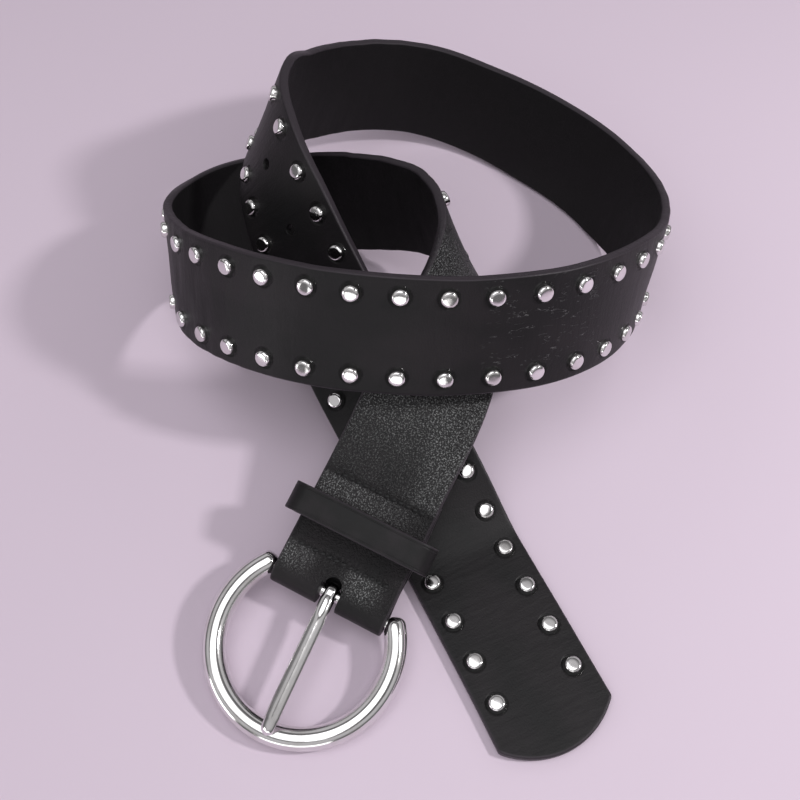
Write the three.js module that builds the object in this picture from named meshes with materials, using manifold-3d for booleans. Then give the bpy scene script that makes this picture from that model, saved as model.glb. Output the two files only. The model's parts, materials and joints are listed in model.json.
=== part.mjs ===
// A wide studded leather belt, unfastened, lying in a double coil on a flat surface.
//
// The strap is drawn first as a straight blank in its own coordinates: x runs from the tail tip
// towards the buckle, y to the left of that direction and z out of the face that shows when the belt
// is worn. It is then laid along a path through the rows of the table below. Everything on the strap,
// such as studs, holes and the buckle, is placed in the blank's coordinates and follows the path.
// Lengths are millimetres and angles are degrees. The surface that the belt lies on is z = 0.

import * as THREE from "three";
import { mergeVertices } from "three/addons/utils/BufferGeometryUtils.js";
import Module from "manifold-3d";

const wasm = await Module();
wasm.setup();

// Strap
const strapWidth = 42.5;
const strapThick = 3.4;
const tipRadius = 29;
const strapStep = 6;
const tongueLength = 1;
const tongueShare = 0.9;

// Lay of the coil on the surface: its extent to the right, and from front to back
const coilWidth = 200;
const coilDepth = 280;

// Studs, in two rows along the strap
const studPitch = 15.55;
const studPairs = 57;
const rowSpacing = 29.2;
const firstStud = 23.5;
const studRadius = 3;
const studHeight = 1.9;
const studSink = 0.6;
const studCrown = 0.6;
const studSides = 10;

// Punched holes on the centre line
const holeRadius = 1.7;
const holePitch = 26;
const holeCount = 6;
const firstHole = 132;
const holeSides = 12;

// Buckle ring, its bar and the prong
const wireRadius = 3.9;
const ringRadius = 30.6;
const armFlat = 1.2;
const barRadius = 2.1;
const prongWidth = 5;
const prongHeight = 3.6;
const prongWall = 1.9;
const prongSkew = 4;
const tipLength = 6;
const tipBend = 20;
const tipShare = 0.7;
const tipShort = 1.2;

// Fold of the strap round the bar, with its sewn flap
const foldLeather = 2.6;
const flapLeather = 2.6;
const flapLength = 48;
const firstRow = 16;
const secondRow = 43;
const slotRelief = 1.9;
const straightRun = 58;

// Keeper loop
const keeperWidth = 10;
const keeperThick = 2;
const keeperLength = 54;
const keeperPlace = 29.5;
const keeperRoom = 5.6;

// Clearances
const runningGap = 0.3;
const sideGap = 0.6;

// Where the strap passes, from the tail tip to the straight run at the buckle. x and y are shares of
// the coil's width and depth. lift is how far the strap's lower edge is above the surface, as a share
// of the strap's width. lean is 0 where the strap stands on its edge and 90 where it lies on its back.
const lay = [
  { place: "tail tip", x: 0.277, y: -0.473, lift: 0, lean: 90 },
  { place: "tail", x: 0.19, y: -0.345, lift: 0, lean: 90 },
  { place: "tail, last of the flat", x: 0.12, y: -0.245, lift: 0, lean: 90 },
  { place: "tail under the buckle strap", x: 0.05, y: -0.148, lift: 0.1, lean: 77 },
  { place: "tail under the front strap", x: -0.025, y: -0.055, lift: 0.22, lean: 63 },
  { place: "tail, rising", x: -0.105, y: 0.035, lift: 0.35, lean: 49 },
  { place: "over the inner loop", x: -0.167, y: 0.113, lift: 0.64, lean: 43 },
  { place: "over the inner loop", x: -0.216, y: 0.183, lift: 0.9, lean: 38 },
  { place: "over the inner loop", x: -0.248, y: 0.254, lift: 1.03, lean: 31 },
  { place: "left back bend", x: -0.25, y: 0.322, lift: 1.02, lean: 22 },
  { place: "left back bend", x: -0.216, y: 0.39, lift: 0.71, lean: 9 },
  { place: "back", x: -0.122, y: 0.467, lift: 0.38, lean: -4 },
  { place: "back", x: 0.037, y: 0.503, lift: 0.15, lean: -12 },
  { place: "back", x: 0.183, y: 0.474, lift: 0.03, lean: -16 },
  { place: "back, on the surface", x: 0.312, y: 0.413, lift: 0, lean: -20 },
  { place: "right bend", x: 0.42, y: 0.333, lift: 0, lean: -21 },
  { place: "right bend", x: 0.478, y: 0.236, lift: 0.12, lean: -15 },
  { place: "right bend, rising", x: 0.471, y: 0.13, lift: 0.37, lean: 0 },
  { place: "front", x: 0.4, y: 0.046, lift: 0.7, lean: 14 },
  { place: "front", x: 0.288, y: -0.018, lift: 0.97, lean: 24 },
  { place: "front, over the crossing", x: 0.145, y: -0.049, lift: 1.11, lean: 29 },
  { place: "front, over the crossing", x: -0.01, y: -0.052, lift: 1.15, lean: 31 },
  { place: "front", x: -0.162, y: -0.031, lift: 1.1, lean: 32 },
  { place: "front", x: -0.294, y: 0.016, lift: 0.92, lean: 29 },
  { place: "left bend", x: -0.393, y: 0.085, lift: 0.6, lean: 19 },
  { place: "left bend, falling", x: -0.434, y: 0.173, lift: 0.27, lean: -1 },
  { place: "inner loop", x: -0.375, y: 0.257, lift: 0.03, lean: -24 },
  { place: "inner loop, on the surface", x: -0.235, y: 0.291, lift: 0.02, lean: -28 },
  { place: "inner loop", x: -0.087, y: 0.269, lift: 0.2, lean: -18 },
  { place: "inner bend", x: 0.042, y: 0.221, lift: 0.42, lean: -2 },
  { place: "inner bend", x: 0.11, y: 0.134, lift: 0.62, lean: 20 },
  { place: "turning over", x: 0.104, y: 0.027, lift: 0.72, lean: 44 },
  { place: "turning over", x: 0.064, y: -0.052, lift: 0.73, lean: 66 },
  { place: "buckle strap", x: 0.0105, y: -0.127, lift: 0.72, lean: 87 },
];

// Sizes that follow from the ones above
const halfWidth = strapWidth / 2;
const halfThick = strapThick / 2;
const eyeRadius = barRadius + runningGap;
const foldRadius = eyeRadius + foldLeather;
const barHeight = halfThick - foldRadius;
const sewnDepth = strapThick + flapLeather;
const tunnelHeight = keeperThick + 2 * runningGap;
const tunnelWidth = keeperWidth + 2 * runningGap;
const armOffset = halfWidth + sideGap + wireRadius - armFlat;
const barSetback = Math.sqrt(ringRadius ** 2 - armOffset ** 2);

const leather = new THREE.MeshStandardMaterial({ color: 0x17171a, roughness: 0.5, metalness: 0 });
const chrome = new THREE.MeshStandardMaterial({ color: 0xd6d6d8, roughness: 0.12, metalness: 1 });

// Slopes of the smoothest curve through the values, which ends without a bend.
function smoothSlopes(knots, values) {
  const weight = knots.slice(1).map((knot, i) => 1 / (knot - knots[i]));
  const pull = weight.map((w, i) => 3 * w * w * (values[i + 1] - values[i]));
  const pivot = [];
  const right = [];
  knots.forEach((knot, i) => {
    const before = weight[i - 1] ?? 0;
    const share = i ? before / pivot[i - 1] : 0;
    pivot.push(2 * (before + (weight[i] ?? 0)) - share * before);
    right.push((pull[i - 1] ?? 0) + (pull[i] ?? 0) - share * (right[i - 1] ?? 0));
  });
  const slopes = [];
  for (let i = knots.length - 1; i >= 0; i--) {
    slopes[i] = (right[i] - (weight[i] ?? 0) * (slopes[i + 1] ?? 0)) / pivot[i];
  }
  return slopes;
}

// Slopes of a curve that never passes beyond the values it joins.
function steadySlopes(knots, values) {
  const rise = knots.slice(1).map((knot, i) => (values[i + 1] - values[i]) / (knot - knots[i]));
  const inner = rise.slice(1).map((after, i) => {
    const product = rise[i] * after;
    return product > 0 ? (2 * product) / (rise[i] + after) : 0;
  });
  return [rise[0], ...inner, rise[rise.length - 1]];
}

// The value at t of the curve through the values with the given slopes.
function curveAt(knots, values, slopes, t) {
  let i = 0;
  while (i < knots.length - 2 && t > knots[i + 1]) i++;
  const span = knots[i + 1] - knots[i];
  const u = (t - knots[i]) / span;
  const rise = u * u * (3 - 2 * u);
  const start = u * (1 - u) * (1 - u) * span;
  const end = -u * u * (1 - u) * span;
  return values[i] + rise * (values[i + 1] - values[i]) + start * slopes[i] + end * slopes[i + 1];
}

// The path of the strap's middle as closely spaced frames, each with its distance from the tail tip.
function layPath(samplesPerRow = 12) {
  const rows = lay.map(({ x, y, lift, lean }) => {
    const tilt = THREE.MathUtils.degToRad(lean);
    const rest = Math.cos(tilt) * halfWidth + Math.abs(Math.sin(tilt)) * halfThick;
    return { x: x * coilWidth, y: y * coilDepth, z: lift * strapWidth + rest, lean: tilt };
  });
  const knots = [0];
  rows.slice(1).forEach((row, i) => knots.push(knots[i] + Math.hypot(row.x - rows[i].x, row.y - rows[i].y)));
  const column = (name, slopesOf) => {
    const values = rows.map((row) => row[name]);
    const slopes = slopesOf(knots, values);
    return (t) => curveAt(knots, values, slopes, t);
  };
  const xAt = column("x", smoothSlopes);
  const yAt = column("y", smoothSlopes);
  const zAt = column("z", steadySlopes);
  const leanAt = column("lean", steadySlopes);
  const count = samplesPerRow * (rows.length - 1);
  const frames = [];
  for (let k = 0; k <= count; k++) {
    const t = (knots[knots.length - 1] * k) / count;
    frames.push({ lean: leanAt(t), point: new THREE.Vector3(xAt(t), yAt(t), zAt(t)) });
  }
  frames.forEach((frame, k) => {
    const before = frames[Math.max(k - 1, 0)];
    const after = frames[Math.min(k + 1, count)];
    frame.distance = k ? before.distance + frame.point.distanceTo(before.point) : 0;
    frame.ahead = after.point.clone().sub(before.point).normalize();
    const right = frame.ahead.clone().cross(new THREE.Vector3(0, 0, 1)).normalize();
    const up = right.clone().cross(frame.ahead);
    const rightEdge = up.multiplyScalar(Math.cos(frame.lean)).addScaledVector(right, Math.sin(frame.lean));
    frame.left = rightEdge.negate();
  });
  return frames;
}

const path = layPath();
const pathLength = path[path.length - 1].distance;

// The placing matrix at a distance from the tail tip: x ahead, y to the left, z out of the face.
function placeAt(distance) {
  let i = 1;
  while (i < path.length - 1 && path[i].distance < distance) i++;
  const [before, after] = [path[i - 1], path[i]];
  const share = (distance - before.distance) / (after.distance - before.distance);
  const inside = Math.min(Math.max(share, 0), 1);
  const ahead = before.ahead.clone().lerp(after.ahead, inside).normalize();
  const out = ahead.clone().cross(before.left.clone().lerp(after.left, inside)).normalize();
  const left = out.clone().cross(ahead);
  const point = before.point.clone().lerp(after.point, share);
  return new THREE.Matrix4().makeBasis(ahead, left, out).setPosition(point);
}

// A closed mesh through rings of equally many points, run round in order, each ring ahead of the last.
function loft(rings, closed = false) {
  const size = rings[0].length;
  const points = rings.flat();
  const faces = [];
  const spans = closed ? rings.length : rings.length - 1;
  for (let i = 0; i < spans; i++) {
    const here = i * size;
    const next = ((i + 1) % rings.length) * size;
    for (let j = 0; j < size; j++) {
      const k = (j + 1) % size;
      faces.push([here + j, here + k, next + k], [here + j, next + k, next + j]);
    }
  }
  if (!closed) {
    const last = (rings.length - 1) * size;
    for (let j = 1; j + 1 < size; j++) {
      faces.push([0, j + 1, j], [last, last + j, last + j + 1]);
    }
  }
  const geometry = new THREE.BufferGeometry().setFromPoints(points);
  geometry.setIndex(faces.flat());
  return geometry;
}

// A three.js geometry, placed by a matrix, as a solid that can be joined and cut.
function solid(geometry, matrix = new THREE.Matrix4()) {
  const placed = geometry.clone().applyMatrix4(matrix);
  placed.deleteAttribute("normal");
  placed.deleteAttribute("uv");
  const merged = mergeVertices(placed, 1e-4);
  return new wasm.Manifold(new wasm.Mesh({
    numProp: 3,
    vertProperties: Float32Array.from(merged.attributes.position.array),
    triVerts: Uint32Array.from(merged.index.array),
  }));
}

function meshOf(name, body, material) {
  const made = body.getMesh();
  const geometry = new THREE.BufferGeometry();
  geometry.setAttribute("position", new THREE.BufferAttribute(Float32Array.from(made.vertProperties), 3));
  geometry.setIndex(new THREE.BufferAttribute(Uint32Array.from(made.triVerts), 1));
  const mesh = new THREE.Mesh(geometry, material);
  mesh.name = name;
  return mesh;
}

function box(size, centre) {
  return new THREE.BoxGeometry(...size).translate(...centre);
}

// An upright cylinder, or one along y, between two heights.
function cylinder(radius, from, to, sides, alongY = false) {
  const geometry = new THREE.CylinderGeometry(radius, radius, to - from, sides);
  geometry.translate(0, (from + to) / 2, 0);
  return alongY ? geometry : geometry.rotateX(Math.PI / 2);
}

// A profile drawn in the ahead and out directions, as thick as given across the strap.
function acrossStrap(shape, thickness, curveSegments = 8) {
  const geometry = new THREE.ExtrudeGeometry(shape, { depth: thickness, bevelEnabled: false, curveSegments });
  return geometry.translate(0, 0, -thickness / 2).rotateX(Math.PI / 2);
}

// The plain run of the strap, laid along the path. A short tongue at its end reaches into the sewn end.
function strapRun() {
  const steps = Math.round(pathLength / strapStep);
  const section = [[-halfWidth, -halfThick], [halfWidth, -halfThick], [halfWidth, halfThick], [-halfWidth, halfThick]];
  const rings = [];
  const ringAt = (distance, share) => {
    const place = placeAt(distance);
    rings.push(section.map(([y, z]) => new THREE.Vector3(0, y * share, z * share).applyMatrix4(place)));
  };
  for (let i = 0; i <= steps; i++) ringAt((pathLength * i) / steps, 1);
  ringAt(pathLength + tongueLength, tongueShare);
  return solid(loft(rings));
}

// What is cut from the square end of the strap to leave its shallow rounded tip.
function tipWaste() {
  const sag = tipRadius - Math.sqrt(tipRadius ** 2 - halfWidth ** 2);
  const spread = Math.asin(halfWidth / tipRadius);
  const shape = new THREE.Shape();
  shape.moveTo(sag, halfWidth);
  shape.absarc(tipRadius, 0, tipRadius, Math.PI - spread, Math.PI + spread, false);
  shape.lineTo(sag, -strapWidth);
  shape.lineTo(-strapWidth, -strapWidth);
  shape.lineTo(-strapWidth, strapWidth);
  shape.lineTo(sag, strapWidth);
  const geometry = new THREE.ExtrudeGeometry(shape, { depth: 4 * strapThick, bevelEnabled: false, curveSegments: 14 });
  return solid(geometry.translate(0, 0, -2 * strapThick), placeAt(0));
}

// One domed stud, with its rim sunk a little into the leather.
function studGeometry() {
  const crownDrop = 0.15 * studHeight;
  const profile = [
    [0, -studSink],
    [studRadius, -studSink],
    [studRadius * studCrown, studHeight - crownDrop],
    [0, studHeight],
  ].map(([r, h]) => new THREE.Vector2(r, h));
  return new THREE.LatheGeometry(profile, studSides).rotateX(Math.PI / 2).translate(0, 0, halfThick);
}

// The sewn end of the strap: it runs straight on, folds round the bar and comes back underneath.
function foldedEnd() {
  const edge = straightRun + foldRadius;
  const outer = halfThick;
  const sewn = outer - sewnDepth;
  const bulge = sewn - tunnelHeight;
  const keeper = edge - keeperPlace;
  const flare = tunnelWidth / 2 + flapLeather / 2;
  const shape = new THREE.Shape();
  shape.moveTo(0, -halfThick);
  shape.lineTo(edge - flapLength, -halfThick);
  shape.lineTo(edge - flapLength, sewn);
  shape.lineTo(edge - secondRow, sewn);
  shape.lineTo(keeper - flare, bulge);
  shape.lineTo(keeper + flare, bulge);
  shape.lineTo(edge - firstRow, sewn);
  shape.lineTo(straightRun, outer - 2 * foldRadius);
  shape.absarc(straightRun, barHeight, foldRadius, -Math.PI / 2, Math.PI / 2, false);
  shape.lineTo(0, outer);
  const eye = new THREE.Path().absarc(straightRun, barHeight, eyeRadius, 0, 2 * Math.PI, true);
  shape.holes.push(eye);
  const place = placeAt(pathLength);
  const tunnelCentre = outer - strapThick - tunnelHeight / 2;
  const tunnel = box([tunnelWidth, 2 * strapWidth, tunnelHeight], [keeper, 0, tunnelCentre]);
  const half = prongWidth / 2 + sideGap;
  const slotStart = straightRun - eyeRadius - prongWall - slotRelief;
  const corner = half / 2;
  const slotShape = new THREE.Shape();
  slotShape.moveTo(edge + half, -half);
  slotShape.lineTo(edge + half, half);
  slotShape.absarc(slotStart + corner, half - corner, corner, Math.PI / 2, Math.PI, false);
  slotShape.absarc(slotStart + corner, corner - half, corner, Math.PI, 1.5 * Math.PI, false);
  const slot = new THREE.ExtrudeGeometry(slotShape, { depth: 6 * foldRadius, bevelEnabled: false, curveSegments: 4 });
  slot.translate(0, 0, -4 * foldRadius);
  return solid(acrossStrap(shape, strapWidth, 10), place)
    .subtract(solid(tunnel, place))
    .subtract(solid(slot, place));
}

function strap() {
  let body = strapRun().subtract(tipWaste());
  const hole = cylinder(holeRadius, -strapThick, strapThick, holeSides);
  for (let i = 0; i < holeCount; i++) {
    body = body.subtract(solid(hole, placeAt(firstHole + i * holePitch)));
  }
  const stud = studGeometry();
  for (let i = 0; i < studPairs; i++) {
    const place = placeAt(firstStud + i * studPitch);
    for (const side of [-1, 1]) {
      const shift = new THREE.Matrix4().makeTranslation(0, (side * rowSpacing) / 2, 0);
      body = body.add(solid(stud, place.clone().multiply(shift)));
    }
  }
  return meshOf("strap", body.add(foldedEnd()), leather);
}

// The narrow closed loop: its lower run lies in the tunnel and its upper run stands above the strap.
function keeperLoop() {
  const lower = halfThick - strapThick - tunnelHeight / 2;
  const upper = halfThick + keeperRoom + keeperThick / 2;
  const bend = (upper - lower) / 2;
  const reach = keeperLength / 2 - keeperThick / 2 - bend;
  const bendSteps = 8;
  const rings = [];
  for (const side of [1, -1]) {
    for (let i = 0; i <= bendSteps; i++) {
      const turn = Math.PI * (i / bendSteps - 0.5) + (side > 0 ? 0 : Math.PI);
      const [outY, outZ] = [Math.cos(turn), Math.sin(turn)];
      rings.push([[-1, -1], [1, -1], [1, 1], [-1, 1]].map(([along, face]) => {
        const radius = bend + (face * keeperThick) / 2;
        const y = side * reach + radius * outY;
        return new THREE.Vector3((along * keeperWidth) / 2, y, (upper + lower) / 2 + radius * outZ);
      }));
    }
  }
  const place = straightRun + foldRadius - keeperPlace;
  return meshOf("keeper_loop", solid(loft(rings, true).translate(place, 0, 0)), leather);
}

// The round ring, open behind the bar, with flats beside the strap and the bar across its ends.
function buckleRing() {
  const opening = Math.atan2(armOffset, barSetback);
  const far = 2 * ringRadius;
  const wedge = new THREE.Shape();
  wedge.moveTo(barSetback, 0);
  wedge.lineTo(barSetback - far * Math.cos(opening), far * Math.sin(opening));
  wedge.lineTo(barSetback - 2 * far, 0);
  wedge.lineTo(barSetback - far * Math.cos(opening), -far * Math.sin(opening));
  const deep = 4 * wireRadius;
  const gap = new THREE.ExtrudeGeometry(wedge, { depth: deep, bevelEnabled: false }).translate(0, 0, -deep / 2);
  const wire = new THREE.TorusGeometry(ringRadius, wireRadius, 12, 48).translate(barSetback, 0, 0);
  let body = solid(wire).subtract(solid(gap));
  for (const side of [-1, 1]) {
    const end = new THREE.SphereGeometry(wireRadius, 12, 8).rotateX(Math.PI / 2);
    body = body.add(solid(end.translate(0, side * armOffset, 0)));
  }
  const flatReach = 2 * (foldRadius + wireRadius);
  const flats = box([flatReach, strapWidth + 2 * sideGap, deep], [0, 0, 0]);
  const bar = cylinder(barRadius, -armOffset, armOffset, 20, true);
  return meshOf("buckle_ring", body.subtract(solid(flats)).add(solid(bar)), chrome);
}

// The prong's middle line, from the eye on the bar to the tip that rests on the ring.
function prongLine() {
  const bend = THREE.MathUtils.degToRad(tipBend);
  const rest = wireRadius + runningGap + (prongHeight * tipShare) / 2;
  const ringTop = barSetback + ringRadius;
  const tip = { x: ringTop + rest * Math.sin(bend) - tipShort * Math.cos(bend) };
  tip.z = rest * Math.cos(bend) + tipShort * Math.sin(bend);
  const knee = { x: tip.x - tipLength * Math.cos(bend), z: tip.z + tipLength * Math.sin(bend) };
  const neck = { x: 0, z: eyeRadius + prongWall - prongHeight / 2 };
  return { neck, knee, tip };
}

function prong() {
  const { neck, knee, tip } = prongLine();
  const round = [[-0.38, -0.92], [0.38, -0.92], [0.92, -0.38], [0.92, 0.38]];
  round.push([0.38, 0.92], [-0.38, 0.92], [-0.92, 0.38], [-0.92, -0.38]);
  const ridged = [[-0.8, -1], [0.8, -1], [1, -0.8], [1, 0.1], [0.12, 1], [-0.12, 1], [-1, 0.1], [-1, -0.8]];
  const stations = [
    { ...neck, width: 1, height: 1, ridge: 0 },
    { x: neck.x + 0.16 * (knee.x - neck.x), z: neck.z + 0.16 * (knee.z - neck.z), width: 1, height: 1, ridge: 0 },
    { x: neck.x + 0.24 * (knee.x - neck.x), z: neck.z + 0.24 * (knee.z - neck.z), width: 1, height: 1, ridge: 1 },
    { ...knee, width: 0.95, height: 0.9, ridge: 1 },
    { ...tip, width: 0.85, height: tipShare, ridge: 0.6 },
  ];
  const skew = Math.tan(THREE.MathUtils.degToRad(prongSkew));
  const rings = stations.map(({ x, z, width, height, ridge }) => round.map(([y, up], j) => {
    const side = y + ridge * (ridged[j][0] - y);
    const rise = up + ridge * (ridged[j][1] - up);
    return new THREE.Vector3(x, (side * width * prongWidth) / 2 + x * skew, z + (rise * height * prongHeight) / 2);
  }));
  const eye = cylinder(eyeRadius + prongWall, -prongWidth / 2, prongWidth / 2, 20, true);
  const bore = cylinder(eyeRadius, -prongWidth, prongWidth, 20, true);
  return meshOf("prong", solid(loft(rings)).add(solid(eye)).subtract(solid(bore)), chrome);
}

// How far the ring's lowest point is above the surface when the ring is turned up about its bar.
function ringClearance(turn) {
  const matrix = placeAt(pathLength).multiply(barPlace(turn));
  const centre = new THREE.Vector3(barSetback, 0, 0).applyMatrix4(matrix);
  const upright = matrix.elements[10];
  return centre.z - ringRadius * Math.sqrt(1 - upright ** 2) - wireRadius;
}

function barPlace(turn) {
  return new THREE.Matrix4().makeRotationY(-turn).setPosition(straightRun, 0, barHeight);
}

// The turn at which the ring rests on the surface.
function restingTurn() {
  let [low, high] = [-Math.PI / 3, Math.PI / 3];
  while (high - low > 1e-7) {
    const middle = (low + high) / 2;
    if (ringClearance(middle) < 0) low = middle;
    else high = middle;
  }
  return high;
}

// The buckle swings as a whole on its bar, so the ring and the prong share one turned group.
const buckle = new THREE.Group();
buckle.add(buckleRing(), prong());
buckle.applyMatrix4(barPlace(restingTurn()));

const buckleEnd = new THREE.Group();
buckleEnd.add(keeperLoop(), buckle);
buckleEnd.applyMatrix4(placeAt(pathLength));

// The whole belt, centred over the origin.
const belt = new THREE.Group();
belt.add(strap(), buckleEnd);
const extent = new THREE.Box3().setFromObject(belt, true);
const middle = extent.getCenter(new THREE.Vector3());
belt.position.set(-middle.x, -middle.y, -extent.min.z);

export default belt;
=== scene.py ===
# %% [markdown]
# # A studded leather belt, dressed for its picture
#
# The imported model gives the belt's lay, its buckle and its joints. It is loaded first, as a fixed
# frame, because each new piece is fitted to it.

# %% Load the frame
import json
import math

import bmesh
import bpy
import numpy as np
from mathutils import Matrix, Vector, noise


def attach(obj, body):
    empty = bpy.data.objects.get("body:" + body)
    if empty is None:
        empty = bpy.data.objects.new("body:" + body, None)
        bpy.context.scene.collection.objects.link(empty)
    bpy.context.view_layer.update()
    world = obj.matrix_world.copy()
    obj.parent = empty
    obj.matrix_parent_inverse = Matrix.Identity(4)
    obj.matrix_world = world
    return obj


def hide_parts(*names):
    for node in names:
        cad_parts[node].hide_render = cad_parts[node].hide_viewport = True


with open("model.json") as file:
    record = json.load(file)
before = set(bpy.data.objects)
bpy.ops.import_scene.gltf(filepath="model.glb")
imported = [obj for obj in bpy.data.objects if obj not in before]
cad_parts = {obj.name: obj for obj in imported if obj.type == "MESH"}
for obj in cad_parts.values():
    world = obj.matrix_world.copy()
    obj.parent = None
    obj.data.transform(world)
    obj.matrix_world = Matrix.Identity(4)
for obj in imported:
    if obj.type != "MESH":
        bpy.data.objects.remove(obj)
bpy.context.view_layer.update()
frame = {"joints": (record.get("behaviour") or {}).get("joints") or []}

# %% [markdown]
# ## Sizes
#
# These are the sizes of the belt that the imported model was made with, in metres. Heights are
# measured from the middle of the strap's thickness, distances from the tip of its tail.

# %% Sizes
MM = 0.001
STRAP_WIDTH = 42.5 * MM
STRAP_THICK = 3.4 * MM
HALF_WIDTH = STRAP_WIDTH / 2
HALF_THICK = STRAP_THICK / 2
TIP_RADIUS = 29 * MM
COIL_WIDTH = 200 * MM
COIL_DEPTH = 280 * MM
STUD_PITCH = 15.55 * MM
STUD_PAIRS = 57
ROW_SPACING = 29.2 * MM
FIRST_STUD = 23.5 * MM
STUD_RADIUS = 3 * MM
STUD_HEIGHT = 1.9 * MM
HOLE_RADIUS = 1.7 * MM
HOLE_PITCH = 26 * MM
HOLE_COUNT = 6
FIRST_HOLE = 132 * MM
WIRE_RADIUS = 3.9 * MM
RING_RADIUS = 30.6 * MM
BAR_RADIUS = 2.1 * MM
EYE_RADIUS = 2.4 * MM
PRONG_WIDTH = 5 * MM
PRONG_HEIGHT = 3.6 * MM
PRONG_WALL = 1.9 * MM
FOLD_RADIUS = 5.0 * MM
FOLD_THICK = 2.6 * MM
STRAIGHT_RUN = 58 * MM
EDGE = STRAIGHT_RUN + FOLD_RADIUS
STITCH_ROWS = (EDGE - 16 * MM, EDGE - 43 * MM)
BAR_HEIGHT = HALF_THICK - FOLD_RADIUS
SIDE_GAP = 0.6 * MM
ARM_OFFSET = HALF_WIDTH + SIDE_GAP + WIRE_RADIUS - 1.2 * MM
BAR_SETBACK = math.sqrt(RING_RADIUS**2 - ARM_OFFSET**2)
print(f"strap {STRAP_WIDTH / MM:.1f} mm wide, ring {2 * (RING_RADIUS + WIRE_RADIUS) / MM:.0f} mm over all")

# %% [markdown]
# ## The lay of the strap
#
# The strap lies in a double coil on its edge, with its tail and its buckle end turned flat. Each row
# below places the strap's middle: x and y as shares of the coil's width and depth, the lower edge's
# height as a share of the strap's width, and how far the face leans back from upright, in degrees.
# The rows are joined by smooth curves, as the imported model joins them.

# %% Rows of the lay
LAY = np.array([
    # x, y, lift, lean
    (0.277, -0.473, 0, 90),
    (0.19, -0.345, 0, 90),
    (0.12, -0.245, 0, 90),
    (0.05, -0.148, 0.1, 77),
    (-0.025, -0.055, 0.22, 63),
    (-0.105, 0.035, 0.35, 49),
    (-0.167, 0.113, 0.64, 43),
    (-0.216, 0.183, 0.9, 38),
    (-0.248, 0.254, 1.03, 31),
    (-0.25, 0.322, 1.02, 22),
    (-0.216, 0.39, 0.71, 9),
    (-0.122, 0.467, 0.38, -4),
    (0.037, 0.503, 0.15, -12),
    (0.183, 0.474, 0.03, -16),
    (0.312, 0.413, 0, -20),
    (0.42, 0.333, 0, -21),
    (0.478, 0.236, 0.12, -15),
    (0.471, 0.13, 0.37, 0),
    (0.4, 0.046, 0.7, 14),
    (0.288, -0.018, 0.97, 24),
    (0.145, -0.049, 1.11, 29),
    (-0.01, -0.052, 1.15, 31),
    (-0.162, -0.031, 1.1, 32),
    (-0.294, 0.016, 0.92, 29),
    (-0.393, 0.085, 0.6, 19),
    (-0.434, 0.173, 0.27, -1),
    (-0.375, 0.257, 0.03, -24),
    (-0.235, 0.291, 0.02, -28),
    (-0.087, 0.269, 0.2, -18),
    (0.042, 0.221, 0.42, -2),
    (0.11, 0.134, 0.62, 20),
    (0.104, 0.027, 0.72, 44),
    (0.064, -0.052, 0.73, 66),
    (0.0105, -0.127, 0.72, 87),
])
SAMPLES_PER_ROW = 12


def smooth_slopes(knots, values):
    """Slopes of the smoothest curve through the values."""
    size = len(knots)
    pull = np.zeros((size, size))
    right = np.zeros(size)
    for i, weight in enumerate(1 / np.diff(knots)):
        pull[i, i] += 2 * weight
        pull[i + 1, i + 1] += 2 * weight
        pull[i, i + 1] += weight
        pull[i + 1, i] += weight
        right[i : i + 2] += 3 * weight**2 * (values[i + 1] - values[i])
    return np.linalg.solve(pull, right)


def steady_slopes(knots, values):
    """Slopes of a curve that never passes beyond the values it joins."""
    rise = np.diff(values) / np.diff(knots)
    product = rise[1:] * rise[:-1]
    total = np.where(product > 0, rise[1:] + rise[:-1], 1)
    return np.concatenate([rise[:1], np.where(product > 0, 2 * product / total, 0), rise[-1:]])


def curve_at(knots, values, slopes, places):
    i = np.clip(np.searchsorted(knots, places, side="left") - 1, 0, len(knots) - 2)
    span = knots[i + 1] - knots[i]
    u = (places - knots[i]) / span
    rise = u * u * (3 - 2 * u) * (values[i + 1] - values[i])
    return values[i] + rise + u * (1 - u) ** 2 * span * slopes[i] - u * u * (1 - u) * span * slopes[i + 1]


def unit(vectors):
    return vectors / np.linalg.norm(vectors, axis=-1, keepdims=True)


def lay_path():
    """The points, directions ahead, directions to the left and distances along the strap's middle."""
    x, y = LAY[:, 0] * COIL_WIDTH, LAY[:, 1] * COIL_DEPTH
    lean = np.radians(LAY[:, 3])
    z = LAY[:, 2] * STRAP_WIDTH + np.cos(lean) * HALF_WIDTH + np.abs(np.sin(lean)) * HALF_THICK
    knots = np.concatenate([[0], np.cumsum(np.hypot(np.diff(x), np.diff(y)))])
    places = np.linspace(0, knots[-1], SAMPLES_PER_ROW * (len(LAY) - 1) + 1)
    curves = [curve_at(knots, v, smooth_slopes(knots, v), places) for v in (x, y)]
    curves += [curve_at(knots, v, steady_slopes(knots, v), places) for v in (z, lean)]
    points = np.stack(curves[:3], axis=1)
    lean = curves[3][:, None]
    index = np.arange(len(points))
    ahead = unit(points[np.minimum(index + 1, index[-1])] - points[np.maximum(index - 1, 0)])
    right = unit(np.cross(ahead, (0, 0, 1)))
    left = -(np.cross(right, ahead) * np.cos(lean) + right * np.sin(lean))
    steps = np.linalg.norm(np.diff(points, axis=0), axis=1)
    return points, ahead, left, np.concatenate([[0], np.cumsum(steps)])


PATH_POINTS, PATH_AHEAD, PATH_LEFT, PATH_DISTANCES = lay_path()
PATH_LENGTH = PATH_DISTANCES[-1]
print(f"the strap's middle runs {PATH_LENGTH / MM:.1f} mm from its tip to the buckle end")

# %% [markdown]
# A place on the strap has a point and three directions: ahead, to the left, and out of the face.
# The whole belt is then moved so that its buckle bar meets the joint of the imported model.


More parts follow.
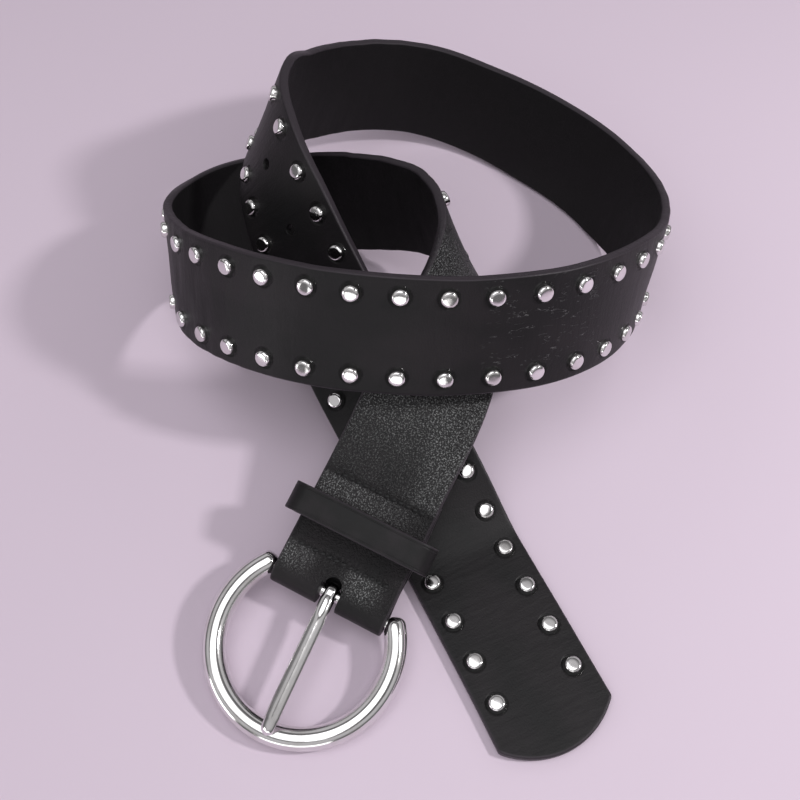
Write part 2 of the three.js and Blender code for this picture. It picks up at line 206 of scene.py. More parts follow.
# %% Places along the strap
def places_at(distances):
    """Points and the directions ahead, left and out at distances from the tip of the tail."""
    d = np.atleast_1d(distances)
    i = np.clip(np.searchsorted(PATH_DISTANCES, d), 1, len(PATH_DISTANCES) - 1)
    share = ((d - PATH_DISTANCES[i - 1]) / (PATH_DISTANCES[i] - PATH_DISTANCES[i - 1]))[:, None]
    inside = np.clip(share, 0, 1)
    ahead = unit(PATH_AHEAD[i - 1] + inside * (PATH_AHEAD[i] - PATH_AHEAD[i - 1]))
    left = PATH_LEFT[i - 1] + inside * (PATH_LEFT[i] - PATH_LEFT[i - 1])
    out = unit(np.cross(ahead, left))
    points = PATH_POINTS[i - 1] + share * (PATH_POINTS[i] - PATH_POINTS[i - 1])
    return points, ahead, np.cross(out, ahead), out


def matrix_at(distance):
    point, ahead, left, out = (row[0] for row in places_at(distance))
    columns = [Vector(v).to_4d() for v in (ahead, left, out)] + [Vector(point).to_4d()]
    for column in columns[:3]:
        column.w = 0
    return Matrix(columns).transposed()


BAR = Vector(frame["joints"][0]["pos_m"])
SHIFT = BAR - matrix_at(PATH_LENGTH) @ Vector((STRAIGHT_RUN, 0, BAR_HEIGHT))
END_FRAME = Matrix.Translation(SHIFT) @ matrix_at(PATH_LENGTH)


def bar_frame(turn):
    bar = Matrix.Translation((STRAIGHT_RUN, 0, BAR_HEIGHT)) @ Matrix.Rotation(-turn, 4, "Y")
    return END_FRAME @ bar


def ring_clearance(turn):
    """How far the ring's lowest point is above the surface."""
    turned = bar_frame(turn)
    centre = turned @ Vector((BAR_SETBACK, 0, 0))
    return centre.z - RING_RADIUS * math.sqrt(1 - turned[2][2] ** 2) - WIRE_RADIUS


low, high = -math.pi / 3, math.pi / 3
for _ in range(40):
    middle = (low + high) / 2
    low, high = (middle, high) if ring_clearance(middle) < 0 else (low, middle)
BUCKLE_FRAME = bar_frame(high)
print(f"the ring rests at {math.degrees(high):.2f} degrees")

# %% [markdown]
# ## The folded end
#
# Past the straight run the strap turns round the buckle's bar and comes back underneath, thinned by
# skiving. It could be bent with a lattice, but a worked-out profile is exact and follows the bar. The
# profile is the line of the outer face, as distances ahead and heights in the buckle end's own frame.


# %% Profile of the folded end
def smoothstep(value, start, end):
    u = np.clip((value - start) / (end - start), 0, 1)
    return u * u * (3 - 2 * u)


FLAP_DEPTH = HALF_THICK - STRAP_THICK - FOLD_THICK
KEEPER_BULGE = 2.6 * MM
KEEPER_PLACE = EDGE - 29.5 * MM
FLAP_END = EDGE - 48 * MM
BULGE_REACH = (6.6 * MM, 13.5 * MM)


def flap_height(ahead):
    """Height of the flap's outer face: down from the bar, up to the strap, and out round the keeper."""
    nip = smoothstep(ahead, STITCH_ROWS[0], STRAIGHT_RUN)
    bulge = 1 - smoothstep(np.abs(ahead - KEEPER_PLACE), *BULGE_REACH)
    return FLAP_DEPTH + nip * (HALF_THICK - 2 * FOLD_RADIUS - FLAP_DEPTH) - bulge * KEEPER_BULGE


arc = np.linspace(math.pi / 2, -math.pi / 2, 49)[1:-1]
run_back = np.linspace(STRAIGHT_RUN, FLAP_END, 200)
FOLD_X = np.concatenate([[0, STRAIGHT_RUN], STRAIGHT_RUN + FOLD_RADIUS * np.cos(arc), run_back])
FOLD_Z = np.concatenate([[HALF_THICK] * 2, BAR_HEIGHT + FOLD_RADIUS * np.sin(arc), flap_height(run_back)])
FOLD_AT = np.concatenate([[0], np.cumsum(np.hypot(np.diff(FOLD_X), np.diff(FOLD_Z)))])
FOLD_LENGTH = FOLD_AT[-1]
BLANK_LENGTH = PATH_LENGTH + FOLD_LENGTH
FLAP_TURN = STRAIGHT_RUN + math.pi * FOLD_RADIUS


def flap_distance(ahead):
    """The distance past the path's end at which the flap reaches a place ahead."""
    back = FOLD_AT > FLAP_TURN
    return float(np.interp(-ahead, -FOLD_X[back], FOLD_AT[back]))


print(f"the cut strap is {BLANK_LENGTH / MM:.0f} mm long before it is folded")

# %% [markdown]
# Every leather piece is first made flat, as a belt maker does, and then laid down in its place. The
# flat coordinates stay on the mesh as an attribute in millimetres, so that grain, creases and worn
# rims follow the leather through each bend.


# %% Lay a flat piece down
def points_of(piece):
    places = np.empty(len(piece.data.vertices) * 3)
    piece.data.vertices.foreach_get("co", places)
    return places.reshape(-1, 3)


def move_points(piece, places):
    piece.data.vertices.foreach_set("co", np.ascontiguousarray(places).ravel())
    piece.data.update()


def keep_flat(piece):
    """Keeps where the points are now, in millimetres, as the attribute "flat"."""
    flat = piece.data.attributes.new("flat", "FLOAT_VECTOR", "POINT")
    flat.data.foreach_set("vector", (points_of(piece) / MM).ravel())


def laid(points):
    """Where points of the flat strap go: along the path, and round the bar at its end."""
    along, across, height = points.T
    point, _, left, out = places_at(np.minimum(along, PATH_LENGTH))
    on_path = point + left * across[:, None] + out * height[:, None]
    past = np.maximum(along - PATH_LENGTH, 0)
    step = 0.1 * MM
    x, z = (np.interp(past, FOLD_AT, row) for row in (FOLD_X, FOLD_Z))
    before, after = np.maximum(past - step, 0), np.minimum(past + step, FOLD_LENGTH)
    dx, dz = (np.interp(after, FOLD_AT, row) - np.interp(before, FOLD_AT, row) for row in (FOLD_X, FOLD_Z))
    thinned = smoothstep(past, STITCH_ROWS[0] - 3 * MM, STRAIGHT_RUN - 2 * MM)
    depth = (HALF_THICK - height) * (1 - thinned * (1 - FOLD_THICK / STRAP_THICK))
    size = np.hypot(dx, dz)
    folded = np.stack([x + dz / size * depth, across, z - dx / size * depth, np.ones(len(x))], axis=1)
    folded = (folded @ np.array(END_FRAME).T)[:, :3]
    return np.where((along > PATH_LENGTH)[:, None], folded, on_path + np.array(SHIFT))


def put(piece, matrix):
    piece.data.transform(matrix)
    piece.data.update()


print("laying is ready")

# %% [markdown]
# ## Working with primitives
#
# Each piece starts as a primitive, added at its size and place and made the only selected object.
# Its parts are then chosen in code, by where they are, and shaped with Blender's edit-mode tools.


# %% Tools for the pieces
def start(name, operator, **settings):
    """Adds a primitive as the only selected object, with its place in its mesh."""
    bpy.ops.object.select_all(action="DESELECT")
    operator(**settings)
    bpy.ops.object.transform_apply(location=True, rotation=True, scale=True)
    piece = bpy.context.object
    piece.name = piece.data.name = name
    return piece


def choose(piece, kind, test):
    """In edit mode, selects only the vertices, edges or faces whose middle passes the test."""
    bpy.ops.mesh.select_mode(type=kind)
    bpy.ops.mesh.select_all(action="DESELECT")
    shape = bmesh.from_edit_mesh(piece.data)
    parts = {"VERT": shape.verts, "EDGE": shape.edges, "FACE": shape.faces}[kind]
    for part in parts:
        corners = [part] if kind == "VERT" else part.verts
        if test(sum((v.co for v in corners), Vector()) / len(corners)):
            part.select_set(True)
    shape.select_flush_mode()
    bmesh.update_edit_mesh(piece.data)


def pick(piece):
    """Makes a piece the active object, and the only selected one."""
    bpy.ops.object.select_all(action="DESELECT")
    piece.select_set(True)
    bpy.context.view_layer.objects.active = piece


def edit(piece):
    pick(piece)
    bpy.ops.object.mode_set(mode="EDIT")


def done():
    bpy.ops.object.mode_set(mode="OBJECT")


def modify(piece, kind, **settings):
    """Adds a modifier and applies it."""
    pick(piece)
    modifier = piece.modifiers.new(kind.title(), kind)
    for name, value in settings.items():
        setattr(modifier, name, value)
    bpy.ops.object.modifier_apply(modifier=modifier.name)


def combine(piece, other, operation):
    modify(piece, "BOOLEAN", object=other, operation=operation, solver="EXACT")
    bpy.data.objects.remove(other)


def join(pieces, name):
    pick(pieces[0])
    for piece in pieces:
        piece.select_set(True)
    bpy.ops.object.join()
    pieces[0].name = pieces[0].data.name = name
    return pieces[0]


def copy_of(piece):
    twin = piece.copy()
    twin.data = piece.data.copy()
    bpy.context.scene.collection.objects.link(twin)
    return twin


def smooth(piece, angle):
    """Shades a piece smooth, apart from edges sharper than the angle in degrees."""
    pick(piece)
    bpy.ops.object.shade_smooth_by_angle(angle=math.radians(angle))


def outward(piece):
    """Merges doubles and turns every face outwards."""
    edit(piece)
    bpy.ops.mesh.select_all(action="SELECT")
    bpy.ops.mesh.remove_doubles(threshold=0.001 * MM)
    bpy.ops.mesh.normals_make_consistent(inside=False)
    done()


def report(piece):
    print(f"{piece.name}: {len(piece.data.polygons)} faces")


print("tools are ready")

# %% [markdown]
# ## Materials as recipes
#
# A material is written as arithmetic. A signal is one output of a node, and adding or multiplying
# signals adds the Math nodes. Colours are mixed by a Mix node, because a Math node would turn
# them grey. This keeps a recipe as short as the formula that it stands for.


# %% Signals and recipes
class Signal:
    """One output of a node, with the operators of arithmetic."""

    def __init__(self, recipe, socket):
        self.recipe = recipe
        self.socket = socket

    def __add__(self, other):
        return self.recipe.maths("ADD", self, other)

    def __sub__(self, other):
        return self.recipe.maths("SUBTRACT", self, other)

    def __rsub__(self, other):
        return self.recipe.maths("SUBTRACT", other, self)

    def __mul__(self, other):
        return self.recipe.maths("MULTIPLY", self, other)

    def __truediv__(self, other):
        return self.recipe.maths("DIVIDE", self, other)

    __radd__ = __add__
    __rmul__ = __mul__


class Recipe:
    """One material, or the world: its shader, and the nodes that feed it."""

    def __init__(self, name, kind="materials"):
        self.owner = getattr(bpy.data, kind).new(name)
        self.owner.use_nodes = True
        self.tree = self.owner.node_tree
        self.shader = next(n for n in self.tree.nodes if n.type in ("BSDF_PRINCIPLED", "BACKGROUND"))

    def node(self, kind, settings, values, output=0):
        node = self.tree.nodes.new(kind)
        for name, value in settings.items():
            setattr(node, name, value)
        for name, value in values.items():
            self.feed(next(s for s in node.inputs if name in (s.identifier, s.name)), value)
        outputs = [s for s in node.outputs if output in (s.identifier, s.name)]
        return Signal(self, outputs[0] if outputs else node.outputs[output])

    def feed(self, socket, value):
        if isinstance(value, Signal):
            self.tree.links.new(value.socket, socket)
        else:
            socket.default_value = value

    def maths(self, operation, first, second=0.0):
        settings = {"operation": operation}
        return self.node("ShaderNodeMath", settings, {"Value": first, "Value_001": second})

    def mix(self, share, first, second):
        values = {"Factor_Float": share, "A_Color": first, "B_Color": second}
        return self.node("ShaderNodeMix", {"data_type": "RGBA"}, values, "Result_Color")

    def scaled(self, vector, scale):
        values = {"Vector": vector, "Vector_001": scale}
        return self.node("ShaderNodeVectorMath", {"operation": "MULTIPLY"}, values, "Vector")

    def step(self, value, start, end):
        """Rises smoothly from 0 at the start to 1 at the end, which may lie below it."""
        values = {"Value": value, "From Min": start, "From Max": end}
        return self.node("ShaderNodeMapRange", {"interpolation_type": "SMOOTHSTEP"}, values, "Result")

    def noise(self, vector, scale, detail=2.0, rough=0.5):
        values = {"Vector": vector, "Scale": scale, "Detail": detail, "Roughness": rough}
        return self.node("ShaderNodeTexNoise", {}, values, "Fac")

    def cells(self, vector, scale):
        return self.node("ShaderNodeTexVoronoi", {}, {"Vector": vector, "Scale": scale}, "Distance")

    def parts(self, vector):
        """The three coordinates of a vector."""
        return [self.node("ShaderNodeSeparateXYZ", {}, {"Vector": vector}, axis) for axis in "XYZ"]

    def bump(self, height, strength=1.0):
        """A bump from a height in millimetres."""
        values = {"Height": height, "Distance": MM, "Strength": strength}
        return self.node("ShaderNodeBump", {}, values, "Normal")

    def finish(self, fixed, changing):
        """Feeds the shader with what is the same everywhere and with what changes over the surface."""
        for name, value in {**fixed, **changing}.items():
            self.feed(self.shader.inputs[name], value)
        print(f"{self.owner.name}: {len(self.tree.nodes)} nodes")
        return self.owner


# %% [markdown]
# ## The belt's leather
#
# The face is black satin leather with a fine grain, a few worn creases where it was folded, which
# carry a painted highlight, and a thin pressed ring round each stud, darkened with painted shade. The
# back is a duller lining. The cut rims are painted and have worn to a grey purple. Near the buckle the
# leather is coarser, and its pressed grain is speckled with painted glints. A picture of leather could
# be wrapped on, but it would stretch in the bends. So the finish is worked out from the flat
# coordinates, and follows the leather wherever it goes.

# %% Leather of the strap
BLACK = (0.006, 0.0055, 0.0062, 1)
WARM_BLACK = (0.011, 0.009, 0.0105, 1)
LINING_BLACK = (0.0045, 0.0038, 0.0045, 1)
RIM_GREY = (0.034, 0.027, 0.034, 1)
# painted highlight: the light grey of the worn creases stands in for light caught on them
CREASE_HIGHLIGHT_GREY = (0.2, 0.198, 0.205, 1)
# painted shade: the darker ring in the leather round each stud
STUD_SHADE_BLACK = (0.002, 0.002, 0.002, 1)
# painted glints: light grey specks where light would catch the buckle strap's grain
GLINT_GREY = (0.24, 0.245, 0.245, 1)
LEATHER_GLOSS = 0.27
FOLDED_ONCE = 0.589  # where the worn creases are, as shares of the path
PULLED_MOST = 0.99


def strap_leather():
    recipe = Recipe("strap_leather_finish")
    flat = recipe.node("ShaderNodeAttribute", {"attribute_name": "flat"}, {}, "Vector")
    along, across, out = recipe.parts(flat)
    aside = recipe.maths("ABSOLUTE", across)
    back = recipe.step(out, 0.2, -1.2)
    end = PATH_LENGTH / MM
    past = along - end
    buckle_strap = recipe.step(past, -88, -66) * recipe.step(past, 60, 56) * (1 - back)

    # where the buckle strap gets the most painted glints: by its stitch rows, and along one edge
    first, second = (row / MM for row in reversed(STITCH_ROWS))
    above = 0.25 + 0.75 * recipe.step(past, 14, -16) + 0.6 * recipe.step(across, 5, 16)
    between = recipe.step(past, first, first + 2) * recipe.step(past, first + 10, first + 6)
    between = between * recipe.step(across, 24, -8)
    below = recipe.step(past, second - 1, second + 2) * recipe.step(past, 59, 52)
    beside_prong = recipe.step(recipe.maths("ABSOLUTE", across - 9), 10, 2)
    below = below * (recipe.step(across, -7, -15) + beside_prong)
    ragged = 0.45 + 1.1 * recipe.noise(flat, 0.12, 3.0, 0.6)
    glint_bands = above * recipe.step(past, first, first - 3) + between + below
    glint_mask = ragged * recipe.maths("MINIMUM", glint_bands, 1.0)

    # how far a place is from the nearest stud
    turn = (along - FIRST_STUD / MM) / (STUD_PITCH / MM)
    aside_of_stud = (turn - recipe.maths("ROUND", turn)) * (STUD_PITCH / MM)
    off_row = aside - ROW_SPACING / 2 / MM
    from_stud = recipe.maths("SQRT", aside_of_stud * aside_of_stud + off_row * off_row)
    studded = recipe.step(along, end - 82, end - 86) * recipe.step(along, 14, 17)
    # painted shade round each stud, with a real dent given in the bump
    stud_dent_and_shade = recipe.step(from_stud, 4.3, 3.2) * studded * (1 - back)

    # worn creases with painted highlights: thin broken lines along the strap, where it was folded once and
    # near the buckle
    field = recipe.noise(recipe.scaled(flat, (0.1, 0.36, 0.2)), 1.0, 4.0, 0.6)
    lines = recipe.step(recipe.maths("ABSOLUTE", field - 0.5), 0.011, 0.001)
    broken = recipe.step(recipe.noise(flat, 0.3, 3.0), 0.5, 0.62)
    from_fold = recipe.maths("ABSOLUTE", along - FOLDED_ONCE * end)
    from_pull = recipe.maths("ABSOLUTE", along - PULLED_MOST * end)
    folded = recipe.step(from_fold, 26, 12) * recipe.step(across, 15, 8)
    pulled = recipe.step(from_pull, 22, 8) * recipe.step(across, 3, 11)
    crease_lines_and_highlight = lines * broken * (folded + pulled) * (1 - back)

    # cross wrinkles and grain
    wrinkles = recipe.noise(recipe.scaled(flat, (0.34, 0.07, 0.1)), 1.0, 3.0, 0.6)
    grain = recipe.cells(flat, 1.5)
    fine = recipe.noise(flat, 0.9, 4.0, 0.65)
    pebble = recipe.noise(flat, 1.25, 2.0, 0.8)
    patches = recipe.noise(recipe.scaled(flat, (0.03, 0.05, 0.05)), 1.0, 2.0)
    # painted glints on the buckle strap; the same mask also gives it a real thin coat
    glint_and_coat_mask = glint_mask * buckle_strap
    painted_glints = recipe.step(recipe.noise(flat, 1.7, 3.0, 0.75), 0.5, 0.66) * glint_and_coat_mask

    # painted rims, and the shallow arc at the tip
    from_tip = along - TIP_RADIUS / MM
    from_centre = recipe.maths("SQRT", from_tip * from_tip + across * across)
    tip_rim = recipe.step(from_centre, TIP_RADIUS / MM - 1.1, TIP_RADIUS / MM - 0.7)
    tip_rim = tip_rim * recipe.step(along, 14, 12)
    side_rim = recipe.step(aside, HALF_WIDTH / MM - 0.8, HALF_WIDTH / MM - 0.35)
    rim = recipe.maths("MAXIMUM", side_rim, tip_rim)

    colour = recipe.mix(recipe.step(patches, 0.35, 0.7), BLACK, WARM_BLACK)
    colour = recipe.mix(back, colour, LINING_BLACK)
    # painted shade round the studs
    colour = recipe.mix(stud_dent_and_shade, colour, STUD_SHADE_BLACK)
    # painted highlight along the worn creases
    colour = recipe.mix(crease_lines_and_highlight * 0.8, colour, CREASE_HIGHLIGHT_GREY)
    # painted glints: light grey specks on the buckle strap
    colour = recipe.mix(painted_glints, colour, GLINT_GREY)
    colour = recipe.mix(rim * 0.8, colour, RIM_GREY)

    height = fine * 0.06 + grain * 0.04 + wrinkles * 0.2 - stud_dent_and_shade * 0.35 - crease_lines_and_highlight * 0.16
    height = height + pebble * buckle_strap * 0.8
    rough = 0.42 + fine * 0.12 + back * 0.14 - crease_lines_and_highlight * 0.1 - buckle_strap * 0.04 - rim * 0.05
    return recipe.finish(
        {"Specular IOR Level": LEATHER_GLOSS, "Coat Roughness": 0.25},
        {"Base Color": colour, "Roughness": rough, "Coat Weight": glint_and_coat_mask * 0.1,
         "Normal": recipe.bump(height)})


STRAP_FINISH = strap_leather()

# %% [markdown]
# ## The strap
#
# The real strap is a leather face and a lining, sewn, cut and painted at the rims, about 1.1 m long.
# It could be swept along a curve, but then the fold, the slot and the holes would be hard to cut.
# So a flat grid is given its thickness and rounded rims, its tip is drawn to a shallow arc, holes and
# slot are cut with a boolean, and the whole blank is laid down.

# %% Blank of the strap
FACE_STEP = 1.6 * MM
RIM_ROUND = 0.7 * MM
TIP_FADE = 30 * MM

strap = start(
    "strap_leather", bpy.ops.mesh.primitive_grid_add,
    x_subdivisions=round(BLANK_LENGTH / FACE_STEP), y_subdivisions=round(STRAP_WIDTH / FACE_STEP),
    size=1, location=(0.5, 0, 0))
edit(strap)
bpy.ops.mesh.select_all(action="SELECT")
bpy.ops.transform.resize(value=(BLANK_LENGTH, STRAP_WIDTH, 1), center_override=(0, 0, 0))
done()
modify(strap, "SOLIDIFY", thickness=STRAP_THICK, offset=0)
modify(strap, "BEVEL", width=RIM_ROUND, segments=3, limit_method="ANGLE", angle_limit=math.radians(60))
places = points_of(strap)
sag = TIP_RADIUS - np.sqrt(TIP_RADIUS**2 - np.minimum(np.abs(places[:, 1]), HALF_WIDTH) ** 2)
places[:, 0] += sag * (1 - np.clip(places[:, 0] / TIP_FADE, 0, 1))
move_points(strap, places)
report(strap)

# %% [markdown]
# Punches leave holes with slightly pressed rims. One cutter does it: a pin that flares at both ends.
# The prong's slot is the same pin, pulled long.


# %% Cut the holes and the slot
FLARED = 1.2 * MM
FLARE_DEPTH = 0.9 * MM
FLARE_WIDER = 1.4


def punch(name, place, radius, stretch=0.0):
    """A cutter through the strap, flared where it meets the faces, and pulled along the strap."""
    pin = start(name, bpy.ops.mesh.primitive_cylinder_add,
                vertices=24, radius=radius, depth=STRAP_THICK - FLARED, location=(place, 0, 0))
    edit(pin)
    for side in (1, -1):
        choose(pin, "FACE", lambda middle: side * middle.z > FLARE_DEPTH)
        flare = {"value": (0, 0, side * FLARE_DEPTH)}
        bpy.ops.mesh.extrude_region_move(TRANSFORM_OT_translate=flare)
        bpy.ops.transform.resize(value=(FLARE_WIDER, FLARE_WIDER, 1), center_override=(place, 0, 0))
    if stretch:
        choose(pin, "VERT", lambda middle: middle.x > place)
        bpy.ops.transform.translate(value=(stretch, 0, 0))
    done()
    return pin


SLOT_HALF = PRONG_WIDTH / 2 + SIDE_GAP
EYE_REACH = EYE_RADIUS + PRONG_WALL
SLOT_ROOM = 1.7 * MM
FLAP_SLOT_ROOM = 0.3 * MM
SLOT_START = STRAIGHT_RUN - EYE_REACH - SLOT_ROOM
SLOT_END = flap_distance(STRAIGHT_RUN - EYE_REACH - FLAP_SLOT_ROOM)
pins = [punch("punch", FIRST_HOLE + i * HOLE_PITCH, HOLE_RADIUS) for i in range(HOLE_COUNT)]
slot_place = PATH_LENGTH + SLOT_START + SLOT_HALF
pins.append(punch("slot_punch", slot_place, SLOT_HALF, SLOT_END - SLOT_START - 2 * SLOT_HALF))
combine(strap, join(pins, "punches"), "DIFFERENCE")
report(strap)

# %% [markdown]
# Leather is never quite flat. It waves gently along its length, crumples on the inside of tight
# bends, and is drawn in along its stitch rows. A Displace modifier could do this along the normals,
# but the rows and bends have known places on the flat blank, so its points are moved there, before it
# is laid down.

# %% Wrinkle and lay the strap
STITCH_PITCH = 2.7 * MM
STITCH_REACH = 17.5 * MM
DIP_DEPTH = 0.6 * MM
DIP_REACH = 1.1 * MM
WAVE_DEPTH = 0.22  # in mm, as are the depths of the crumpled places
RIM_WAVE = 0.18
CRUMPLED = (  # distance as a share of the path, reach in mm, depth in mm
    (0.325, 34, 0.35),
    (0.49, 42, 0.3),
    (0.72, 40, 0.35),
    (0.875, 38, 0.45),
)


def waves(points, length, width, layer):
    """Smooth noise over the blank, with the given lengths in millimetres."""
    scaled = points[:, :2] / MM / (length, width)
    return np.array([noise.noise(Vector((x, y, layer))) for x, y in scaled])


def sewn_dip(points):
    """How far the leather is drawn in along each stitch row, on both of its runs."""
    dip = np.zeros(len(points))
    past = points[:, 0] - PATH_LENGTH
    inside = smoothstep(np.abs(points[:, 1]), STITCH_REACH + 2 * MM, STITCH_REACH - 1 * MM)
    for row in STITCH_ROWS:
        for place in (row, flap_distance(row)):
            dip += np.exp(-(((past - place) / DIP_REACH) ** 2)) * inside
    return dip


places = points_of(strap)
keep_flat(strap)
lift = WAVE_DEPTH * waves(places, 30, 18, 1.0)
for share, reach, depth in CRUMPLED:
    near = np.exp(-(((places[:, 0] - share * PATH_LENGTH) / MM / reach) ** 2))
    lift += depth * near * (waves(places, 6.5, 26, 5.0) + 0.6 * waves(places, 3.6, 12, 9.0))
lift *= smoothstep(BLANK_LENGTH - places[:, 0], 45 * MM, 100 * MM)
edge_wave = RIM_WAVE * waves(places * (1, 0, 1), 22, 1, 3.0) * np.sign(places[:, 1])
places[:, 1] += edge_wave * MM * np.abs(places[:, 1]) / HALF_WIDTH
outer = smoothstep(places[:, 2], -0.2 * MM, 1.2 * MM)
places[:, 2] += lift * MM - DIP_DEPTH * sewn_dip(places) * outer
move_points(strap, laid(places))
outward(strap)
smooth(strap, 50)
strap.data.materials.append(STRAP_FINISH)
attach(strap, "belt")
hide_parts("strap")
report(strap)

# %% [markdown]
# ## Bright metal
#
# The studs, the ring and the prong are nickel plated. Clean plating is almost a mirror, so what
# it shows is mostly its surroundings. A picture of a studio could be painted on it, but that would
# slide on a turning ring. So it is left to the real lights, and a slight waviness, smudges and hair
# scratches keep it from looking like glass.


# %% Plated metal
def plated(name, roughness, waviness, scratch_scale):
    recipe = Recipe(name)
    place = recipe.node("ShaderNodeTexCoord", {}, {}, "Object")
    smudge = recipe.noise(place, 90.0, 3.0, 0.6)
    hairs = recipe.noise(recipe.scaled(place, scratch_scale), 1.0, 4.0, 0.7)
    swell = recipe.noise(place, 240.0, 1.0)
    colour = recipe.mix(recipe.step(smudge, 0.35, 0.75), (0.8, 0.79, 0.79, 1), (0.68, 0.665, 0.65, 1))
    rough = roughness + 0.1 * recipe.step(smudge, 0.45, 0.8) + 0.06 * recipe.step(hairs, 0.58, 0.7)
    height = swell * waviness + hairs * 0.004
    return recipe.finish(
        {"Metallic": 1.0, "IOR": 2.2},
        {"Base Color": colour, "Roughness": rough, "Normal": recipe.bump(height)})


STUD_METAL = plated("plated_studs", 0.1, 0.05, (900, 900, 900))
BUCKLE_METAL = plated("plated_buckle", 0.11, 0.03, (1500, 300, 900))

# %% [markdown]
# ## The studs
#
# Each stud is a stamped cap with a flat top and a rounded shoulder, clenched through the strap. It
# could be half of a ball, but a ball has no flat top to catch the light. So one is drawn up from a
# disc by extruding and shrinking its top, and then copied along both rows. Each copy has its own mesh
# until every row is joined into one piece.

# %% One stud and its copies
STUD_SIDES = 18
STUD_RISE = (  # radius as a share of the stud's, height as a share of its own
    (1.0, 0.25),
    (0.97, 0.58),
    (0.88, 0.84),
    (0.76, 0.95),
    (0.6, 0.985),
    (0.25, 1.0),
)
STUD_SINK = 0.55 * MM
STUD_ASKEW = math.radians(4)
STUD_TURN = 2.4  # each stud is turned on by this angle, so that no two reflect quite alike

model = start("stud", bpy.ops.mesh.primitive_circle_add,
              vertices=STUD_SIDES, radius=STUD_RADIUS, fill_type="NGON",
              location=(0, 0, HALF_THICK - STUD_SINK))
edit(model)
bpy.ops.mesh.select_all(action="SELECT")
level, width = -STUD_SINK, 1.0
for share, height in STUD_RISE:
    rise = {"value": (0, 0, height * STUD_HEIGHT - level)}
    bpy.ops.mesh.extrude_region_move(TRANSFORM_OT_translate=rise)
    bpy.ops.transform.resize(value=(share / width, share / width, 1), center_override=(0, 0, 0))
    level, width = height * STUD_HEIGHT, share
done()
outward(model)
smooth(model, 60)
for row, side in (("studs_right_row", -1), ("studs_left_row", 1)):
    caps = []
    for i in range(STUD_PAIRS):
        cap = copy_of(model)
        askew = STUD_ASKEW * noise.noise(Vector((i * 1.7, side, 0)))
        turned = Matrix.Rotation(askew, 4, "X") @ Matrix.Rotation(i * STUD_TURN, 4, "Z")
        place = Matrix.Translation(SHIFT) @ matrix_at(FIRST_STUD + i * STUD_PITCH)
        put(cap, place @ Matrix.Translation((0, side * ROW_SPACING / 2, 0)) @ turned)
        caps.append(cap)
    studs = join(caps, row)
    studs.data.materials.append(STUD_METAL)
    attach(studs, "belt")
    report(studs)
bpy.data.objects.remove(model)

# %% [markdown]
# ## The ring and its bar
#
# The buckle's ring is a bent wire whose ends are rounded off beside the strap. A bevelled curve would
# give such a wire, but not its round ends. A torus has even rings of faces that are easily cut: its
# faces behind the bar are deleted, and the open ends are closed by extruding and shrinking them.

# %% Bend the wire
RING_STEPS = 144
WIRE_SIDES = 28
ROUND_STEPS = 5
LAST_RING = 0.4  # the last step stops this far short of a point
END_SHARE = 0.8  # a round end's length, as a share of the wire's radius

ring = start("ring_wire", bpy.ops.mesh.primitive_torus_add,
             major_radius=RING_RADIUS, minor_radius=WIRE_RADIUS, major_segments=RING_STEPS,
             minor_segments=WIRE_SIDES, location=(BAR_SETBACK, 0, 0))
opening = math.atan2(ARM_OFFSET, BAR_SETBACK)
edit(ring)
choose(ring, "FACE", lambda middle: abs(math.atan2(middle.y, BAR_SETBACK - middle.x)) < opening)
bpy.ops.mesh.delete(type="FACE")
for side in (1, -1):
    end = Vector((0, side * ARM_OFFSET, 0))
    away = Vector((-math.sin(opening), -side * math.cos(opening), 0))
    choose(ring, "EDGE", lambda middle: (middle - end).length < 1.1 * WIRE_RADIUS)
    shape = bmesh.from_edit_mesh(ring.data)
    for part in shape.edges:
        part.select_set(part.select and part.is_boundary)
    bmesh.update_edit_mesh(ring.data)
    bpy.ops.mesh.edge_face_add()
    bpy.ops.mesh.select_mode(type="FACE")
    before = 0.0
    for k in range(1, ROUND_STEPS + 1):
        angle = k / (ROUND_STEPS + LAST_RING) * math.pi / 2
        shift = away * WIRE_RADIUS * END_SHARE * (math.sin(angle) - math.sin(before))
        bpy.ops.mesh.extrude_region_move(TRANSFORM_OT_translate={"value": shift})
        shape = bmesh.from_edit_mesh(ring.data)
        middle = next(f for f in shape.faces if f.select).calc_center_median()
        shrink = math.cos(angle) / math.cos(before)
        bpy.ops.transform.resize(value=(shrink,) * 3, center_override=middle)
        before = angle
done()
outward(ring)
report(ring)

# %% [markdown]
# The sides that face the strap are filed flat, so that the strap turns freely between them, and the
# bar is soldered across. Both are booleans, because they join exactly where the real tools would.

# %% File the flats and solder the bar
FLAT_REACH = 2 * (FOLD_RADIUS + WIRE_RADIUS)

file_block = start("file_block", bpy.ops.mesh.primitive_cube_add, size=1,
                   scale=(FLAT_REACH, STRAP_WIDTH + 2 * SIDE_GAP, 4 * WIRE_RADIUS))
combine(ring, file_block, "DIFFERENCE")
bar = start("bar", bpy.ops.mesh.primitive_cylinder_add, vertices=32, radius=BAR_RADIUS,
            depth=2 * ARM_OFFSET, rotation=(math.pi / 2, 0, 0))
combine(ring, bar, "UNION")
put(ring, BUCKLE_FRAME)
outward(ring)
smooth(ring, 40)
ring.data.materials.append(BUCKLE_METAL)
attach(ring, "ring")
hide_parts("buckle_ring")
report(ring)

# %% [markdown]
# ## The prong
#
# The prong is a rod with a round neck, forged to a blade with a ridge on top, and bent down at its
# tip so that it rests on the ring. Its eye turns on the bar. Extruding it step by step would need a
# turn and a scale for each section. Instead a long cylinder is cut into short lengths, and its points
# are drawn in towards the section that belongs there, as a smith would draw out a rod.

